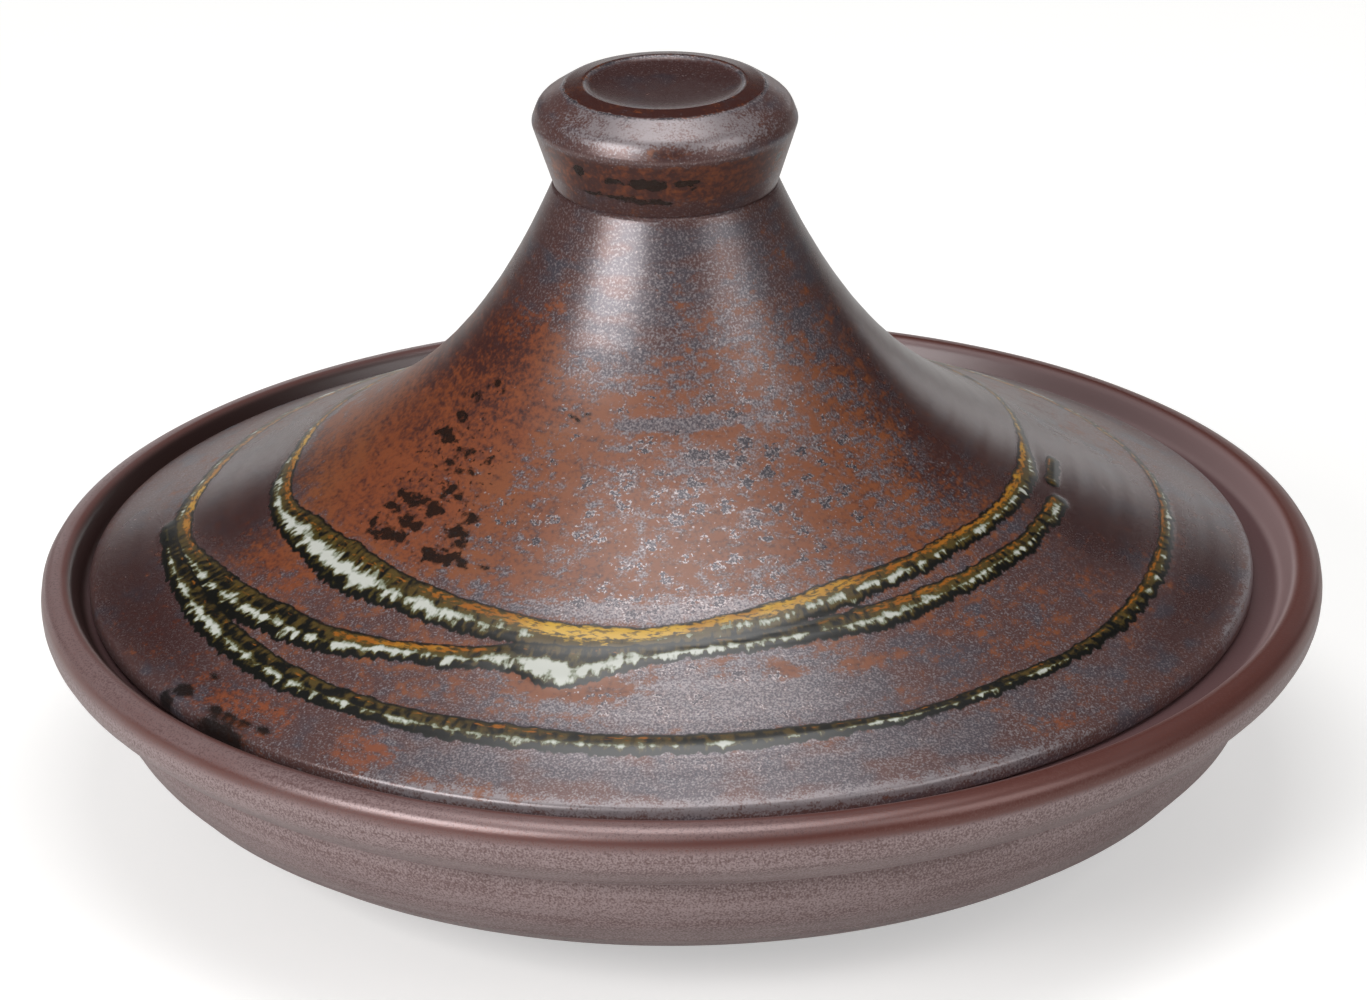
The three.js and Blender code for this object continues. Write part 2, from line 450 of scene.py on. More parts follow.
angle, radius, height = on_the_wheel(read_vectors(dish.data.vertices, "co"), 0.0)
on_wall = (radius > FOOT + FOOT_NOTCH + FOOT_CLEAR) & (height < step_level - STEP_CLEAR)
lines = ripples(height, angle, DISH_WAVES, DISH_WAVE_DEPTH, seed=3)
ridge = RIDGE_DEPTH * np.exp(-((height - RIDGE_HEIGHT) / RIDGE_WIDTH) ** 2)
push_out(dish.data, np.where(on_wall, lines + ridge, 0.0))
print("ridge at mm:", RIDGE_HEIGHT)

# %% [markdown]
# The lid is a bell: it leaves the edge almost flat, sweeps up and ends in a narrow neck. The same curve,
# moved in by the wall, is its inside. It rests on the gallery by a narrow flat seat. The points are a
# millimetre apart on the outside, because the trailed glaze stands up from it as a real bead.

# %% Lid
lid_low, lid_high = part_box("lid")
LID_AXIS = (lid_low.x + lid_high.x) / 2
LID_EDGE = (lid_high.x - lid_low.x) / 2 / MM
LID_SEAT = lid_low.z / MM
LID_TOP = lid_high.z / MM
EDGE_THICKNESS = 4.0
SEAT_WIDTH = 8.0
LID_WALL = 6.5
CROWN_THICKNESS = 9.0
NECK = 25.8
EDGE_SLOPE = math.radians(23.8)
EDGE_PULL = 67.7
NECK_FLARE = math.radians(23.3)
NECK_PULL = 56.6
BELL_POINTS = 150
EDGE_TRIM = 3
HOLLOW_EVERY = 5
SEAT_CLEAR = 2.0
CEILING_CLEAR = 4.0
CEILING_CORNER = 4.5
LID_STEPS = 480
LID_GAP = 4.0

edge_top = (LID_EDGE, LID_SEAT + EDGE_THICKNESS)
edge_pull = (edge_top[0] - EDGE_PULL * math.cos(EDGE_SLOPE), edge_top[1] + EDGE_PULL * math.sin(EDGE_SLOPE))
neck_pull = (NECK + NECK_PULL * math.sin(NECK_FLARE), LID_TOP - NECK_PULL * math.cos(NECK_FLARE))
bell = sweep((NECK, LID_TOP), neck_pull, edge_pull, edge_top, BELL_POINTS)
bell_curve = np.array(bell)[:, :2]
slope = np.gradient(bell_curve, axis=0)
inward = np.stack([slope[:, 1], -slope[:, 0]], axis=1) / np.linalg.norm(slope, axis=1)[:, None]
under_bell = bell_curve + inward * LID_WALL
ceiling = LID_TOP - CROWN_THICKNESS
hollow = [(r, z, 0) for r, z in under_bell[::-HOLLOW_EVERY]
          if LID_SEAT + SEAT_CLEAR < z < ceiling - CEILING_CLEAR]
lid_corners = [
    (0, LID_TOP, 0),
    *bell[:-EDGE_TRIM],
    (*edge_top, 1.2),
    (LID_EDGE, LID_SEAT, 1.2),
    (LID_EDGE - SEAT_WIDTH, LID_SEAT, 0.6),
    *hollow,
    (hollow[-1][0] - CEILING_CORNER, ceiling, 3.5),
    (0, ceiling, 0),
]
lid = turn_on_wheel("tagine_lid", spaced(rounded(lid_corners), LID_GAP), LID_AXIS, LID_STEPS)

# %% [markdown]
# The knob is a short flared stub with a rounded shoulder, and a thumb hollow on top inside a narrow ring. It
# was joined to the lid while the clay was soft, so its base meets the lid's crown with only a fine groove.

# %% Knob
knob_low, knob_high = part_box("lid_knob")
KNOB = (knob_high.x - knob_low.x) / 2 / MM
KNOB_TOP = knob_high.z / MM
FLARE_HEIGHT = 14.8
SHOULDER_WIDTH = 7.4
RING_WIDTH = 4.8
RING_RISE = 0.8
HOLLOW_DEPTH = 1.9
SHOULDER_ROLL = 1.5
SHOULDER_RISE = 4.2
HOLLOW_LIP = 1.2
HOLLOW_LIP_DROP = 1.0
HOLLOW_BEND = 4.0
HOLLOW_FLAT = 6.0
HOLLOW_POINTS = 22
JOINT_GROOVE = 0.05
KNOB_STEPS = 256
KNOB_GAP = 1.0

widest = LID_TOP + FLARE_HEIGHT
ring_outside = KNOB - SHOULDER_WIDTH
ring_inside = ring_outside - RING_WIDTH
ring_level = KNOB_TOP - RING_RISE
hollow_level = KNOB_TOP - HOLLOW_DEPTH
thumb_hollow = sweep((ring_inside - HOLLOW_LIP, KNOB_TOP - HOLLOW_LIP_DROP),
                     (ring_inside - HOLLOW_BEND, hollow_level), (HOLLOW_FLAT, hollow_level),
                     (0, hollow_level), HOLLOW_POINTS)
knob_corners = [
    (0, LID_TOP, 0),
    (NECK - JOINT_GROOVE, LID_TOP, 0.35),
    (KNOB, widest, 0.7),
    (KNOB - SHOULDER_ROLL, widest + SHOULDER_RISE, 1.8),
    (ring_outside, ring_level, 0.8),
    (ring_inside + 0.4, KNOB_TOP, 0.5),
    *thumb_hollow,
]
knob = turn_on_wheel("lid_knob_flared", spaced(rounded(knob_corners), KNOB_GAP), LID_AXIS, KNOB_STEPS)

# %% [markdown]
# The glaze trails were poured from a nozzle while the lid turned: one ring high on the bell, and one line
# that starts on the right, runs round the pot twice and drifts down the slope. A loose drop fell beside its
# start. Each station gives the angle from the front in degrees, the radius of the upper and the lower edge
# in millimetres, and how much amber and how much white came out there. Behind, where the picture doesn't
# reach, the lines close in the simplest way.

# %% Stations of the trailed lines
UPPER_TRAIL = [
    (-180, 86.5, 92.0, 0.5, 0.5), (-140, 85.5, 91.0, 0.5, 0.5), (-110, 85.8, 88.7, 0.6, 0.3),
    (-97, 86.2, 89.6, 0.8, 0.3), (-88, 87.4, 92.6, 0.5, 0.45), (-82, 88.4, 94.0, 0.5, 0.5),
    (-76, 88.0, 94.7, 0.4, 0.55), (-70, 86.0, 94.4, 0.1, 0.5), (-62, 85.6, 94.8, 0.1, 0.6),
    (-56, 85.0, 96.0, 0.1, 0.66), (-48, 85.8, 96.6, 0.2, 0.68), (-43, 86.6, 95.4, 0.2, 0.54),
    (-37, 87.2, 95.6, 0.3, 0.58), (-30, 88.4, 96.2, 0.4, 0.6), (-24, 88.8, 96.8, 0.5, 0.5),
    (-19, 89.8, 97.0, 0.8, 0.25), (-13, 90.0, 97.4, 1.0, 0.05), (-8, 90.1, 97.0, 1.0, 0.0),
    (-2, 89.9, 95.5, 0.9, 0.1), (4, 88.5, 94.5, 0.7, 0.35), (10, 86.7, 93.5, 0.7, 0.4),
    (16, 85.6, 92.5, 0.8, 0.4), (23, 83.3, 90.5, 0.75, 0.42), (31, 82.4, 88.6, 0.6, 0.45),
    (39, 82.1, 87.4, 0.5, 0.45), (48, 81.3, 86.2, 0.55, 0.42), (60, 81.6, 85.6, 0.6, 0.4),
    (75, 81.1, 86.2, 0.6, 0.4), (81, 80.9, 86.4, 0.6, 0.35), (88, 81.0, 84.6, 0.7, 0.25),
    (96, 81.4, 83.6, 0.8, 0.2), (108, 83.1, 85.0, 0.8, 0.2), (117, 85.6, 87.6, 0.6, 0.2),
    (150, 86.4, 91.6, 0.5, 0.5), (180, 86.5, 92.0, 0.5, 0.5),
]
MIDDLE_TRAIL = [
    (-180, 111.0, 116.6, 0.4, 0.5), (-140, 110.5, 116.0, 0.5, 0.5), (-105, 110.0, 114.0, 0.6, 0.3),
    (-96, 111.3, 116.0, 0.8, 0.3), (-88, 111.8, 117.5, 0.6, 0.2), (-82, 111.4, 117.0, 0.4, 0.4),
    (-77, 108.8, 116.0, 0.1, 0.45), (-71, 107.3, 115.5, 0.1, 0.5), (-62, 105.4, 114.5, 0.0, 0.5),
    (-54, 104.0, 112.6, 0.0, 0.58), (-48, 104.3, 111.6, 0.05, 0.55), (-45, 103.4, 111.0, 0.3, 0.45),
    (-39, 102.3, 108.2, 0.6, 0.5), (-34, 100.8, 106.2, 0.6, 0.52), (-28, 99.3, 105.7, 0.6, 0.52),
    (-24, 97.6, 104.5, 0.3, 0.5), (-21, 96.0, 102.3, 0.0, 0.6), (-19, 95.5, 103.9, 0.0, 0.76),
    (-16, 95.5, 106.7, 0.0, 0.76), (-13, 95.8, 106.9, 0.0, 0.74), (-9, 95.5, 103.4, 0.0, 0.75),
    (-4, 94.5, 100.0, 0.0, 0.6), (1, 94.0, 98.2, 0.0, 0.6), (8, 93.0, 97.2, 0.0, 0.5),
    (17, 91.5, 96.9, 0.0, 0.4), (22, 91.0, 96.4, 0.1, 0.45), (27, 90.2, 97.2, 0.3, 0.5),
    (32, 90.3, 97.2, 0.45, 0.45), (38, 89.9, 95.7, 0.45, 0.5), (47, 89.6, 94.9, 0.4, 0.5),
    (53, 89.2, 94.3, 0.4, 0.5), (61, 89.8, 94.5, 0.3, 0.35), (67, 89.5, 93.2, 0.3, 0.3),
    (73, 89.4, 94.3, 0.4, 0.4), (79, 89.6, 94.4, 0.4, 0.4),
]
LOWER_TRAIL = [
    (-92, 115.5, 119.6, 0.0, 0.05), (-87, 115.0, 119.2, 0.0, 0.1), (-80, 114.0, 119.1, 0.0, 0.3),
    (-70, 113.5, 119.9, 0.0, 0.5), (-60, 114.0, 121.3, 0.0, 0.46), (-54, 114.6, 121.9, 0.0, 0.48),
    (-46, 115.6, 122.8, 0.05, 0.42), (-40, 116.4, 122.3, 0.05, 0.38), (-33, 116.7, 122.6, 0.1, 0.38),
    (-24, 116.5, 122.9, 0.15, 0.4), (-14, 116.5, 122.6, 0.15, 0.4), (-6, 117.0, 122.6, 0.15, 0.35),
    (3, 116.9, 121.9, 0.1, 0.15), (12, 116.5, 121.4, 0.1, 0.3), (20, 117.0, 120.6, 0.05, 0.35),
    (29, 117.4, 120.3, 0.05, 0.35), (39, 115.9, 119.8, 0.1, 0.35), (48, 116.5, 119.8, 0.1, 0.32),
    (57, 115.8, 119.9, 0.2, 0.25), (66, 114.9, 119.0, 0.35, 0.22), (76, 114.2, 118.2, 0.4, 0.25),
    (86, 113.9, 117.7, 0.45, 0.25), (96, 115.0, 117.5, 0.5, 0.3), (108, 115.2, 117.2, 0.6, 0.3),
    (140, 113.2, 118.0, 0.5, 0.5), (180, 111.0, 116.6, 0.4, 0.5),
]
LOOSE_DROP = [(80.5, 87.6, 91.0, 0.3, 0.1), (86, 87.4, 90.8, 0.3, 0.15), (92, 88.0, 91.2, 0.3, 0.1)]
TRAILS = {"upper_trail": UPPER_TRAIL, "middle_trail": MIDDLE_TRAIL, "lower_trail": LOWER_TRAIL,
          "loose_drop": LOOSE_DROP}
print("trail stations:", {name: len(stations) for name, stations in TRAILS.items()})

# %% [markdown]
# Each trail becomes two vectors on the lid's points. The first says how far inside its upper and its lower
# edge a point lies, in millimetres, and the second how much amber and white it has. The glaze also stands
# up as a bead, thicker towards the lower edge where it ran, so the same distances push the surface out.

# %% Trails as attributes and as a bead
BLEND_DEGREES = 2.5
FINE_DEGREES = 0.5
BEAD_TOP = 0.18
BEAD_BOTTOM = 0.5
BEAD_START = 0.1
BEAD_FULL_UPPER = 1.5
BEAD_FULL_LOWER = 1.3
SKIN_DEPTH = 1.0
FAR_OUTSIDE = 30.0


def smooth_stations(stations, column, angle):
    """One column of the stations at each angle, with the corners between the stations rounded off."""
    rows = np.array(stations)
    fine = np.arange(rows[0, 0] - 20, rows[-1, 0] + 20, FINE_DEGREES)
    steps = np.arange(-3 * BLEND_DEGREES, 3 * BLEND_DEGREES + FINE_DEGREES, FINE_DEGREES)
    window = np.exp(-(steps / BLEND_DEGREES) ** 2)
    values = np.interp(fine, rows[:, 0], rows[:, column])
    padded = np.pad(values, len(steps) // 2, mode="edge")
    return np.interp(angle, fine, np.convolve(padded, window / window.sum(), mode="valid"))


def ease(value, low, high):
    """0 below low, 1 above high and a smooth step between."""
    t = np.clip((value - low) / (high - low), 0, 1)
    return t * t * (3 - 2 * t)


def write_vectors(mesh, name, rows):
    """Store rows of three numbers on a mesh's points."""
    attribute = mesh.attributes.new(name, "FLOAT_VECTOR", "POINT")
    attribute.data.foreach_set("vector", np.ascontiguousarray(rows, np.float32).ravel())


angle, radius, height = on_the_wheel(read_vectors(lid.data.vertices, "co"), LID_AXIS)
bell_height = np.interp(radius, bell_curve[:, 0], bell_curve[:, 1])
on_outside = height > bell_height - SKIN_DEPTH
bead = np.zeros_like(radius)
for name, stations in TRAILS.items():
    start, end = stations[0][0], stations[-1][0]
    ends = []
    if start > -180:
        ends.append(np.radians(angle - start) * radius)
    if end < 180:
        ends.append(np.radians(end - angle) * radius)
    to_ends = np.minimum.reduce(ends or [np.full_like(radius, FAR_OUTSIDE)])
    upper, lower = (smooth_stations(stations, column, angle) for column in (1, 2))
    to_ends -= (2 * radius - upper - lower) ** 2 / (lower - upper) / 2
    from_upper = np.minimum(radius - upper, to_ends)
    from_lower = np.minimum(lower - radius, to_ends)
    from_upper[~on_outside] = -FAR_OUTSIDE
    across = np.clip(from_upper / np.maximum(from_upper + from_lower, 0.1), 0, 1)
    rise = BEAD_TOP + (BEAD_BOTTOM - BEAD_TOP) * across
    rise *= ease(from_upper, BEAD_START, BEAD_FULL_UPPER) * ease(from_lower, BEAD_START, BEAD_FULL_LOWER)
    bead = np.maximum(bead, rise)
    write_vectors(lid.data, name, np.stack([from_upper, from_lower, 0 * radius], axis=1))
    colour = [smooth_stations(stations, column, angle) for column in (3, 4)]
    write_vectors(lid.data, name + "_colour", np.stack([*colour, 0 * radius], axis=1))
print("highest bead, mm:", round(float(bead.max()), 2))

# %% [markdown]
# The lid's throwing lines are much fainter than the dish's, because a thrown bell is smoothed with a rib.
# They fade out at the neck and at the edge. Lines and bead are pushed out of the mesh together.

# %% Throwing lines and bead on the lid
LID_WAVES = (1.7, 2.6, 4.1, 6.7)
LID_WAVE_DEPTH = 0.04
NECK_FADE = (1.0, 8.0)
EDGE_FADE = (1.5, 5.0)

lines = ripples(radius, angle, LID_WAVES, LID_WAVE_DEPTH, seed=11)
lines *= ease(radius - NECK, *NECK_FADE) * ease(LID_EDGE - radius, *EDGE_FADE)
push_out(lid.data, np.where(on_outside, lines + bead, 0.0))
print("lid throwing lines, mm:", LID_WAVE_DEPTH)

# %% [markdown]
# Where the iron glaze lay thin it fired rust red, and where it lay thick it grew a grey bloom of crystals.
# The places of both came from how the glaze was poured, so they are given as patches: an angle, a radius, a
# half length round the pot, a half width down the slope, both in millimetres, and an amount. The black
# spots, where the glaze pulled back, have no amount.

# %% Patches of bloom, redness, painted shade and crystals, and black spots
BLOOM_BY_RADIUS = ([25, 36, 44, 52, 70, 82, 86, 92, 104, 118, 126, 131, 134, 137],
                   [0.95, 0.68, 0.48, 0.36, 0.35, 0.38, 0.6, 0.64, 0.66, 0.72, 0.86, 0.84, 0.9, 1.0])
BLOOM_PATCHES = [
    (-62, 48, 24, 16, -0.3), (-58, 70, 26, 14, -0.18), (-82, 58, 30, 26, -0.38), (-48, 129, 24, 8, -0.42),
    (-12, 105.5, 15, 3.6, -0.8), (14, 102.4, 4.5, 2.2, -0.6), (24, 104, 9, 2.2, -0.5),
    (-38.5, 128, 6, 8, 0.45), (-26, 101, 8, 3, -0.3), (58, 105, 34, 9, 0.05), (-68, 127, 22, 8, -0.22),
    (-65, 99, 22, 7, -0.3), (42, 131, 14, 3, -0.3), (-19, 134, 20, 2.2, -0.4), (58, 64, 26, 18, 0.12),
    (-20, 36, 11, 8, 0.35), (-44, 38, 5, 7, -0.25), (-30, 31, 10, 6, 0.2), (-66, 34, 15, 9, 0.35),
    (0, 86.5, 26, 2.4, 0.3), (8, 109, 34, 6, 0.45), (4, 128, 64, 6, 0.25), (16, 52, 22, 10, 0.1),
    (3, 49.9, 16, 1.0, 0.7), (-31, 130, 9, 5, -0.45),
]
RED_PATCHES = [
    (-64, 52, 26, 24, 0.9), (-55, 76, 24, 12, 0.6), (-48, 129, 26, 9, 0.9), (-65, 99, 26, 8, 0.6),
    (-68, 127, 22, 8, 0.5), (62, 106, 26, 8, 0.3), (78, 102, 18, 8, 0.5), (70, 66, 22, 18, 0.15),
    (165, 60, 60, 26, 0.5), (-31, 130, 9, 6, 0.8), (84, 92, 6, 5, 0.8), (45, 131, 14, 4, 0.5),
]
# The shade patches are painted shade: they darken the glaze on the far left and right and a little at the
# back.
SHADE_PATCHES = [
    (-95, 100, 40, 14, 1.0), (95, 60, 40, 40, 0.9), (84, 104, 36, 16, 0.65), (95, 128, 40, 9, 0.5),
    (-78, 127, 62, 11, 0.75), (-85, 40, 30, 18, 0.5), (70, 127, 36, 8, 0.5), (180, 80, 160, 60, 0.1),
]
BLACK_SPOTS = [
    (-59.3, 59.1, 3.1, 1.4), (-59.3, 55.0, 1.6, 0.7), (-51.4, 59.8, 2.0, 0.7), (-52.1, 62.9, 1.4, 0.6),
    (-48.1, 62.9, 1.3, 0.4), (-58.8, 51.5, 1.6, 0.6), (-53.4, 48.5, 1.7, 0.7), (-42.3, 60.0, 1.5, 0.7),
    (-46.6, 67.6, 2.5, 1.1), (-47.8, 72.0, 2.5, 1.3), (-51.6, 71.6, 2.1, 1.1), (-55.6, 72.4, 2.2, 1.1),
    (-56.3, 75.7, 2.0, 1.0), (-50.5, 76.5, 3.3, 1.5), (-56.7, 80.2, 2.5, 1.3), (-52.4, 80.8, 3.7, 1.7),
    (-49.5, 79.9, 1.9, 1.2), (-39.3, 70.9, 1.6, 0.9), (-39.8, 74.9, 2.3, 1.4), (-38.4, 76.7, 1.4, 0.9),
    (-41.7, 81.0, 2.9, 1.5), (-38.2, 80.4, 2.1, 1.8), (-35.2, 80.8, 1.3, 1.0), (-30.1, 80.2, 1.1, 0.4),
    (-55.3, 132.6, 3.3, 1.6), (-56.5, 136.0, 2.6, 1.0), (-49.8, 132.8, 2.2, 1.0), (-47.6, 132.9, 2.1, 1.0),
    (-45.5, 133.0, 2.3, 1.1), (-43.0, 132.8, 2.4, 1.1), (-47.5, 136.2, 8.0, 1.2), (-54.1, 126.4, 1.5, 0.7),
    (-24.5, 48.9, 1.4, 0.4),
]
CRYSTAL_PATCHES = [
    (6, 64, 64, 27, 0.85), (5, 86, 50, 3.5, 0.6), (30, 50, 34, 14, 0.15), (2, 108, 46, 12, 0.85),
    (40, 126, 40, 8, 0.3), (-25, 128, 20, 8, 0.35), (-75, 62, 26, 30, -0.3), (5, 126, 60, 8, 0.5),
    (0, 31, 40, 9, 0.16), (175, 66, 80, 26, 0.7),
]
STRAY_SPECKS = [(-52, 66, 22, 20, 0.9), (-40, 130, 40, 8, 0.5)]
print("black spots:", len(BLACK_SPOTS))

# %% [markdown]
# The patches have soft edges and add up. Each point of the lid stores how much bloom, redness and painted
# shade it has, and also its distance from the nearest black spot, its stray specks and its crystals. The
# glaze reads these, and noise only breaks their edges. The lid's outer edge is painted paler in front and on
# the right, as a highlight, stored as shade below zero.

# %% Zones on the lid's points
FEWEST_CRYSTALS = -0.25
FAR_FROM_SPOTS = 8.0
PALE_WIDTH = (2.6, 0.8)
PALE_HEIGHT = (1.5, 2.5)
PALE_FRONT = ((-36, -22), (30, 50))
PALE_RIGHT = (60, 72)
PALE_ON_RIGHT = 0.95
PALE_PAINTED_SHEEN = 0.6


def offsets(angle, radius, centre, ring):
    """How far points lie from a place, along the ring and down the slope, in millimetres."""
    turn = (angle - centre + 180) % 360 - 180
    return np.radians(turn) * ring, radius - ring


def patchwork(angle, radius, patches):
    """The sum of soft-edged patches at each point."""
    total = np.zeros_like(radius)
    for centre, ring, half_length, half_width, amount in patches:
        along, down = offsets(angle, radius, centre, ring)
        total += amount * np.exp(-((along / half_length) ** 2 + (down / half_width) ** 2) ** 1.5)
    return total


def nearest_spot(angle, down_slope, spots, ring=None):
    """Distance in millimetres to the edge of the nearest oval spot, below zero inside it."""
    nearest = np.full_like(angle, FAR_FROM_SPOTS)
    for centre, place, half_length, half_width in spots:
        along = offsets(angle, down_slope, centre, ring or place)[0]
        oval = np.hypot(along / half_length, (down_slope - place) / half_width) - 1
        nearest = np.minimum(nearest, oval * min(half_length, half_width))
    return nearest


def between(value, rise, fall):
    """1 between two soft edges, each given as where it starts and where it ends."""
    return ease(value, *rise) * (1 - ease(value, *fall))


bloom = np.interp(radius, *BLOOM_BY_RADIUS) + patchwork(angle, radius, BLOOM_PATCHES)
# Painted highlight: a pale sheen on the lid's rounded edge, in front and on the right only.
painted_edge_sheen = ease(radius - LID_EDGE, -PALE_WIDTH[0], -PALE_WIDTH[1]) * ease(height - LID_SEAT, *PALE_HEIGHT)
painted_edge_sheen *= between(angle, *PALE_FRONT) + PALE_ON_RIGHT * ease(angle, *PALE_RIGHT)
shade = patchwork(angle, radius, SHADE_PATCHES) * (1 - painted_edge_sheen) - PALE_PAINTED_SHEEN * painted_edge_sheen
zones = np.stack([bloom, patchwork(angle, radius, RED_PATCHES), shade], axis=1)
write_vectors(lid.data, "zones", zones)
spots = nearest_spot(angle, radius, BLACK_SPOTS)
stray = patchwork(angle, radius, STRAY_SPECKS)
crystals = patchwork(angle, radius, CRYSTAL_PATCHES) + FEWEST_CRYSTALS
write_vectors(lid.data, "spots", np.stack([spots, stray, crystals], axis=1))
print("bloom from", round(float(bloom.min()), 2), "to", round(float(bloom.max()), 2))

# %% [markdown]
# Patterns on a pot follow the wheel, so materials read coordinates that do too: the place in millimetres
# from the axis, the radius, and an unrolled place, whose first two numbers go round the ring and whose third
# goes down the slope. A mottle is soft noise with blotches of a given size in millimetres each way.

# %% Wheel coordinates and mottles in a material
RING_REFERENCE = 100.0


def wheel_place(tree, axis_x):
    """The place in millimetres from the axis, the radius, and the unrolled place."""
    place = add(tree, "TexCoord")
    from_axis = add(tree, "Mapping", {}, {"Vector": place.outputs["Object"],
                                          "Location": (-axis_x / MM, 0, 0), "Scale": (1 / MM,) * 3})
    flat = add(tree, "VectorMath", TIMES, {0: from_axis, 1: (1, 1, 0)})
    radius = add(tree, "VectorMath", LENGTH, {0: flat})
    around = add(tree, "VectorMath", {"operation": "NORMALIZE"}, {0: flat})
    down = add(tree, "CombineXYZ", {}, {"Z": radius})
    unrolled = add(tree, "VectorMath", TIMES_PLUS, {0: around, 1: (RING_REFERENCE,) * 3, 2: down})
    return from_axis, radius, unrolled


def mottle(tree, where, size, detail=2.0):
    """Noise whose blotches are about size millimetres, round the ring twice and then down the slope."""
    counted = add(tree, "VectorMath", DIVIDED_BY, {0: where, 1: size})
    return add(tree, "TexNoise", {}, {"Vector": counted, "Scale": 1.0, "Detail": detail})


def total(tree, start, *terms):
    """A start value plus terms, each of them a value and its weight."""
    for value, weight in terms:
        start = add(tree, "Math", TIMES_PLUS, {0: value, 1: weight, 2: start})
    return start


def read_attribute(tree, name):
    """The three numbers that a piece's points carry under a name, as separate outputs."""
    stored = add(tree, "Attribute", {"attribute_name": name})
    return add(tree, "SeparateXYZ", {}, {0: stored.outputs["Vector"]}).outputs


# %% [markdown]
# The iron glaze on the lid and the knob is built up as it grew in the kiln. Lowest is the rust ground, thin
# glaze over clay. It drifts from orange to maroon in blotches of a few millimetres to a centimetre, with
# fine rings from the wheel and freckles under a millimetre.

# %% Iron glaze: the rust ground
RUST = linear("#7C4628")
ORANGE = linear("#7C4024")
MAROON = linear("#3A2120")


def iron_ground(tree, from_axis, rings, blots, zones):
    """The rust ground, with its orange and maroon drifts, fine rings and freckles."""
    drift = mottle(tree, from_axis, (14, 14, 7), 5)
    freckle = mottle(tree, from_axis, (0.9, 0.9, 0.9), 3)
    red = total(tree, 0.0, (drift, 1.2), (zones["Y"], 0.8))
    red = add(tree, "MapRange", STEP, {0: red, 1: 0.5, 2: 1.3})
    ground = add(tree, "Mix", COLOUR, {0: red, 6: RUST, 7: ORANGE})
    # The zones' shade adds to the maroon here: on the lid it is painted shade on the far sides, and on the
    # knob it holds dark glaze and the painted shade of the hollow.
    dark = total(tree, 0.0, (drift, 0.8), (blots, 1.2), (freckle, 1.4), (rings, 0.5), (zones["Z"], 1.0))
    dark = add(tree, "MapRange", STEP, {0: dark, 1: 1.75, 2: 2.6, 4: 0.95})
    return add(tree, "Mix", COLOUR, {0: dark, 6: ground, 7: MAROON})


# %% [markdown]
# A mauve haze of fine crystals lies over the ground, thin on the bell and solid near the neck and on the
# skirt. How far it covers comes from the zones. It goes from plum to slate, with pale grains half a
# millimetre wide.

# %% Iron glaze: the mauve haze
PLUM_HAZE = linear("#5C4342")
SLATE_HAZE = linear("#4E4C55")
PALE_HAZE = linear("#9E9698")


def mauve_haze(tree, from_axis, rings, blots, grain, amount, density):
    """How far the fine haze covers the ground, and its colour."""
    clouds = mottle(tree, from_axis, (9, 9, 5), 4)
    cover = total(tree, 0.0, (clouds, 0.9), (blots, 1.2), (rings, 0.4), (grain, 0.6), (amount, 1.0))
    cover = add(tree, "MapRange", STEP, {0: cover, 1: 1.85, 2: 2.3, 4: 0.9})
    tint = total(tree, 0.0, (mottle(tree, from_axis, (12, 12, 4), 3), 1.0), (density, 0.4))
    tint = add(tree, "MapRange", STEP, {0: tint, 1: 0.4, 2: 0.6})
    colour = add(tree, "Mix", COLOUR, {0: tint, 6: PLUM_HAZE, 7: SLATE_HAZE})
    pale = total(tree, 0.0, (grain, 1.0), (density, 0.16))
    pale = add(tree, "MapRange", STEP, {0: pale, 1: 0.44, 2: 0.78, 4: 0.78})
    return cover, add(tree, "Mix", COLOUR, {0: pale, 6: colour, 7: PALE_HAZE})


# %% [markdown]
# Larger crystals stand in the haze as clusters some five millimetres apart, with slate hearts, pale grains
# round them and a lilac halo. A Voronoi pattern gives each cluster its seed, and noise makes it ragged.
# Single pale grains lie loose between the clusters.

# %% Iron glaze: crystals
LILAC = linear("#786462")
SLATE = linear("#4C474D")
SALT = linear("#ADA2A2")
CLUSTER_GAP = (5.4, 5.4, 4.6)


def crystal_clusters(tree, from_axis, rings, grain, density):
    """Where crystals stand, and their colour: pale grains round a slate heart."""
    counted = add(tree, "VectorMath", DIVIDED_BY, {0: from_axis, 1: CLUSTER_GAP})
    seeds = add(tree, "TexVoronoi", {}, {"Vector": counted, "Scale": 1.0})
    ragged = mottle(tree, from_axis, (1.3, 1.3, 1.0), 3)
    level = total(tree, -0.17, (seeds, -1.0), (ragged, 1.3), (rings, 0.2), (grain, 0.4), (density, 0.7))
    halo = add(tree, "MapRange", STEP, {0: level, 1: 0.72, 2: 0.92, 4: 0.5})
    cover = add(tree, "MapRange", STEP, {0: level, 1: 0.88, 2: 0.95})
    heart = add(tree, "MapRange", STEP, {0: level, 1: 0.98, 2: 1.12, 4: 0.6})
    pale = add(tree, "MapRange", STEP, {0: grain, 1: 0.48, 2: 0.62})
    colour = add(tree, "Mix", COLOUR, {0: pale, 6: SLATE, 7: SALT})
    colour = add(tree, "Mix", COLOUR, {0: heart, 6: colour, 7: SLATE})
    colour = add(tree, "Mix", COLOUR, {0: cover, 6: LILAC, 7: colour})
    cover = add(tree, "Math", HIGHER, {0: cover, 1: halo})
    loose = total(tree, 0.0, (mottle(tree, from_axis, (0.8, 0.8, 0.8), 0), 1.0), (density, 0.14))
    loose = add(tree, "MapRange", STEP, {0: loose, 1: 0.83, 2: 0.89, 4: 0.8})
    colour = add(tree, "Mix", COLOUR, {0: loose, 6: colour, 7: SALT})
    return add(tree, "Math", HIGHER, {0: cover, 1: loose}), colour


# %% [markdown]
# Where the glaze pulled back as it melted, it left black spots. Their places are on the points, and noise
# frays their edges, more on the bell than on the skirt. Small stray specks lie round them.

# %% Iron glaze: black spots
BELL_SPOTS_END = 116.0
SKIRT_SPOTS_START = 124.0
BELL_RAGGED = 5.4
SKIRT_RAGGED = 1.2


